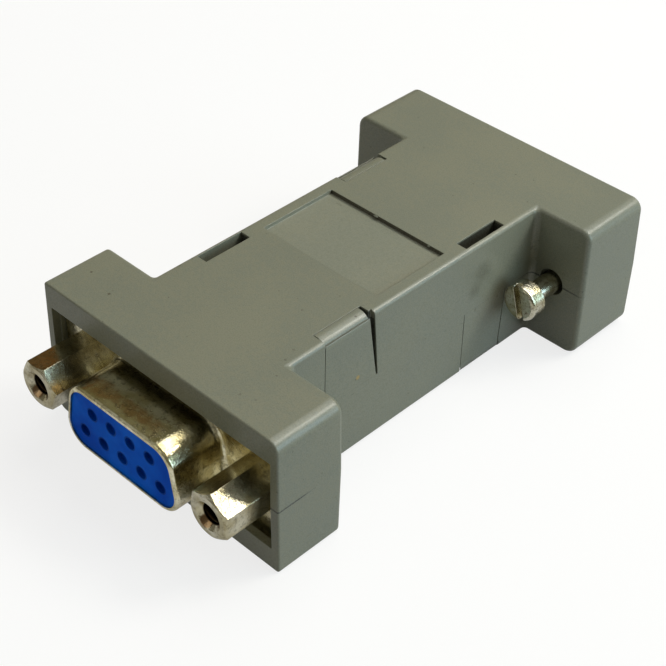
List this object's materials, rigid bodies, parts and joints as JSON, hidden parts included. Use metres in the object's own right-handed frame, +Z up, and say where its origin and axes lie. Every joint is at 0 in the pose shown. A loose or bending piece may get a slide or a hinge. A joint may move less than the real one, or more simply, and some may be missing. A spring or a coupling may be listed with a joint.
{
  "type": "d-sub adapter",
  "caption": "Straight adapter between D-shaped connectors, sockets with jack posts at one end and pins with captive jackscrews at the other, in a snap-together plastic hood.",
  "frame": {"origin": "on the underside plane, below the middle of the whole adapter's bounding box", "axes": "+Y from the socket end towards the pin end, +X to the right when looking at the socket end, +Z up"},
  "size_m": [0.0334, 0.0636, 0.0164],
  "materials": {
    "grey_plastic": "satin moulded plastic",
    "nickel_sheet": "bright nickel plate on drawn steel sheet",
    "blue_plastic": "smooth moulded plastic",
    "contact_metal": "plated brass",
    "wire_cover": "soft wire covering",
    "nickel_post": "bright nickel plate",
    "nickel_screw": "bright nickel plate",
    "ring_steel": "spring steel"
  },
  "bodies": {
    "hood": {"upper_shell": "grey_plastic", "lower_shell": "grey_plastic", "female_front_shell": "nickel_sheet", "female_back_shell": "nickel_sheet", "male_front_shell": "nickel_sheet", "male_back_shell": "nickel_sheet", "female_front_insulator": "blue_plastic", "female_back_insulator": "blue_plastic", "male_front_insulator": "blue_plastic", "male_back_insulator": "blue_plastic", "socket_contact_1": "contact_metal", "socket_contact_2": "contact_metal", "socket_contact_3": "contact_metal", "socket_contact_4": "contact_metal", "socket_contact_5": "contact_metal", "socket_contact_6": "contact_metal", "socket_contact_7": "contact_metal", "socket_contact_8": "contact_metal", "socket_contact_9": "contact_metal", "pin_contact_1": "contact_metal", "pin_contact_2": "contact_metal", "pin_contact_3": "contact_metal", "pin_contact_4": "contact_metal", "pin_contact_5": "contact_metal", "pin_contact_6": "contact_metal", "pin_contact_7": "contact_metal", "pin_contact_8": "contact_metal", "pin_contact_9": "contact_metal", "wire_1": "wire_cover", "wire_2": "wire_cover", "wire_3": "wire_cover", "wire_4": "wire_cover", "wire_5": "wire_cover", "wire_6": "wire_cover", "wire_7": "wire_cover", "wire_8": "wire_cover", "wire_9": "wire_cover", "left_jack_post": "nickel_post", "left_jack_nut": "nickel_post", "right_jack_post": "nickel_post", "right_jack_nut": "nickel_post"},
    "left_ring": {"left_retaining_ring": "ring_steel"},
    "left_screw": {"left_jackscrew": "nickel_screw"},
    "right_ring": {"right_retaining_ring": "ring_steel"},
    "right_screw": {"right_jackscrew": "nickel_screw"}
  },
  "joints": [
    {"name": "left_screw_slide", "type": "slide", "parent": "hood", "child": "left_ring", "axis": [0, 1, 0], "range_m": [0, 0.0035]},
    {"name": "left_screw_turn", "type": "hinge", "parent": "left_ring", "child": "left_screw", "pos_m": [-0.0125, 0.01795, 0.0082], "axis": [0, 1, 0], "continuous": true},
    {"name": "right_screw_slide", "type": "slide", "parent": "hood", "child": "right_ring", "axis": [0, 1, 0], "range_m": [0, 0.0035]},
    {"name": "right_screw_turn", "type": "hinge", "parent": "right_ring", "child": "right_screw", "pos_m": [0.0125, 0.01795, 0.0082], "axis": [0, 1, 0], "continuous": true}
  ]
}
